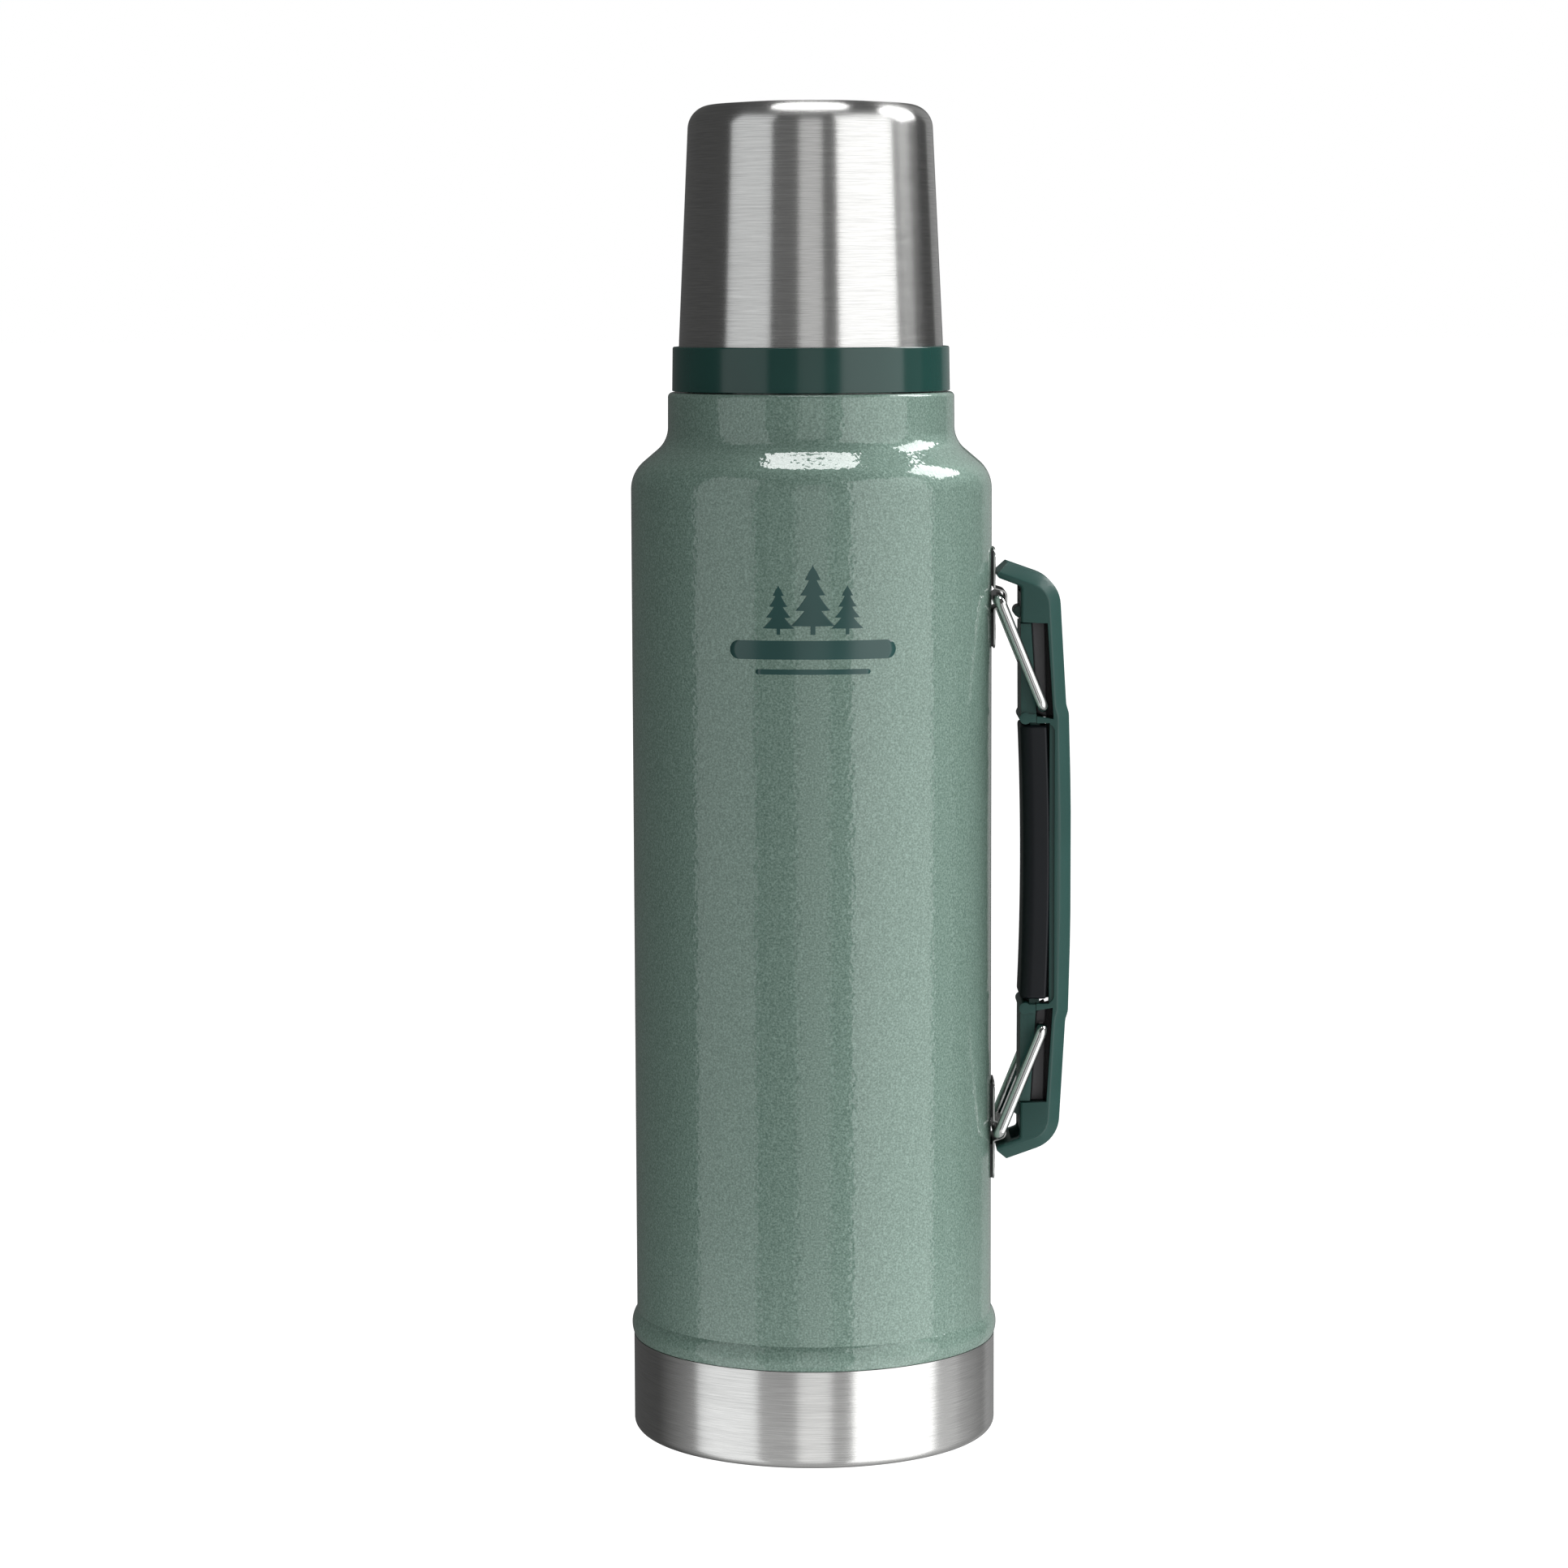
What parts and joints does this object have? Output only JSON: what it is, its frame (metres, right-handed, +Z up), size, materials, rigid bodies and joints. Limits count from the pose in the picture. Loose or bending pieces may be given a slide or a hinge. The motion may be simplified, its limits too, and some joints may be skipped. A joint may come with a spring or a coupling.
{
  "type": "vacuum flask",
  "caption": "Tall steel vacuum flask with a screw stopper under a drinking cup and a slim side handle that pulls out on two wire links.",
  "frame": {"origin": "centre of the flat underside of the steel base cup", "axes": "+Z up along the axis of the flask towards the cup; +X from the axis towards the handle; Y across the handle"},
  "size_m": [0.122, 0.1018, 0.3673],
  "materials": {
    "painted_steel": "glossy hammered enamel, grey green",
    "brushed_steel": "fine brushing round the axis",
    "plain_steel": "drawn stainless, satin",
    "polished_steel": "polished",
    "foil": "bright foil",
    "getter_metal": "pressed powder",
    "pad_rubber": "matt",
    "handle_plastic": "satin moulded, dark green",
    "grip_rubber": "soft matt, blue black",
    "guide_plastic": "moulded, dark grey",
    "ring_plastic": "glossy, dark green",
    "stopper_plastic": "moulded, dark green",
    "foam": "rigid foam",
    "silicone": "translucent grey"
  },
  "bodies": {
    "flask": {"outer_shell": "painted_steel", "base_cup": "brushed_steel", "outer_bottom": "plain_steel", "vacuum_plug": "plain_steel", "neck_collar": "plain_steel", "inner_flask": "plain_steel", "inner_bottom": "plain_steel", "radiation_shield": "foil", "getter_holder": "plain_steel", "getter_pellet": "getter_metal", "strap_upper": "polished_steel", "strap_lower": "polished_steel", "strap_pad_upper": "pad_rubber", "strap_pad_lower": "pad_rubber", "strap_rivets": "polished_steel"},
    "handle": {"handle_shell": "handle_plastic", "handle_frame": "handle_plastic", "handle_grip": "grip_rubber", "slot_guide_upper": "guide_plastic", "slot_guide_lower": "guide_plastic"},
    "link_upper": {"wire_link_upper": "polished_steel"},
    "link_lower": {"wire_link_lower": "polished_steel"},
    "cup": {"cup_shell": "brushed_steel", "cup_liner": "ring_plastic"},
    "stopper": {"stopper_body": "stopper_plastic", "stopper_base": "stopper_plastic", "stopper_cap": "stopper_plastic", "stopper_foam": "foam", "stopper_seal": "silicone"}
  },
  "joints": [
    {"name": "handle_pull", "type": "slide", "parent": "flask", "child": "handle", "axis": [1, 0, 0], "range_m": [0, 0.015]},
    {"name": "link_upper_swing", "type": "hinge", "parent": "flask", "child": "link_upper", "pos_m": [0.05115, 0, 0.2324], "axis": [0, -1, 0], "range_deg": [0, 34.4]},
    {"name": "link_lower_swing", "type": "hinge", "parent": "flask", "child": "link_lower", "pos_m": [0.05115, 0, 0.0844], "axis": [0, 1, 0], "range_deg": [0, 34.4]},
    {"name": "cup_lift", "type": "slide", "parent": "flask", "child": "cup", "axis": [0, 0, 1], "range_m": [0, 0.16]},
    {"name": "stopper_lift", "type": "slide", "parent": "flask", "child": "stopper", "axis": [0, 0, 1], "range_m": [0, 0.08]}
  ],
  "couplings": [
    {"joint": "link_upper_swing", "follows": "handle_pull", "rad_per_m": 40},
    {"joint": "link_lower_swing", "follows": "handle_pull", "rad_per_m": 40},
    {"joint": "stopper_lift", "follows": "cup_lift", "ratio": 0.5}
  ]
}
